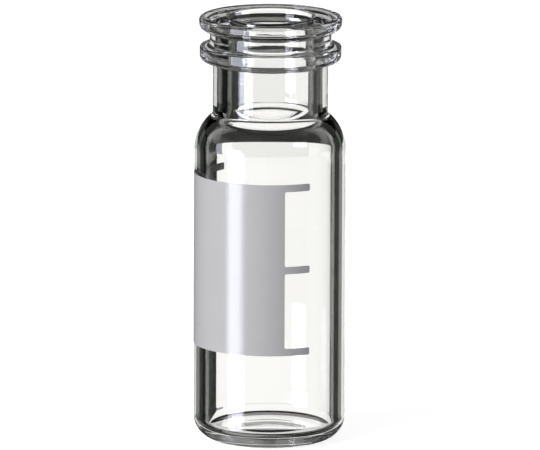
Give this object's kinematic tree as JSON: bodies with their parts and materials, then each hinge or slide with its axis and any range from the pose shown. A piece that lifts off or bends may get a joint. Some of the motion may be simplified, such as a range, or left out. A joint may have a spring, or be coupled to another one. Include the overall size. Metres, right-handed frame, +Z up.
{
  "type": "glass sample vial",
  "caption": "Small clear glass sample vial with a flat foot, a narrow neck, a double snap-ring finish and a printed write-on panel with filling marks.",
  "frame": {"origin": "centre of the foot, on the surface that the vial stands on", "axes": "+Z up along the vial's axis, towards the mouth; -Y is the front, and the print's middle is 52 degrees from it towards -X"},
  "size_m": [0.0116, 0.0116, 0.0325],
  "materials": {
    "glass": "clear, fire-polished",
    "fired_print": "satin ceramic ink"
  },
  "bodies": {
    "root": {"glass_vial": "glass", "write_on_print": "fired_print"}
  },
  "joints": []
}
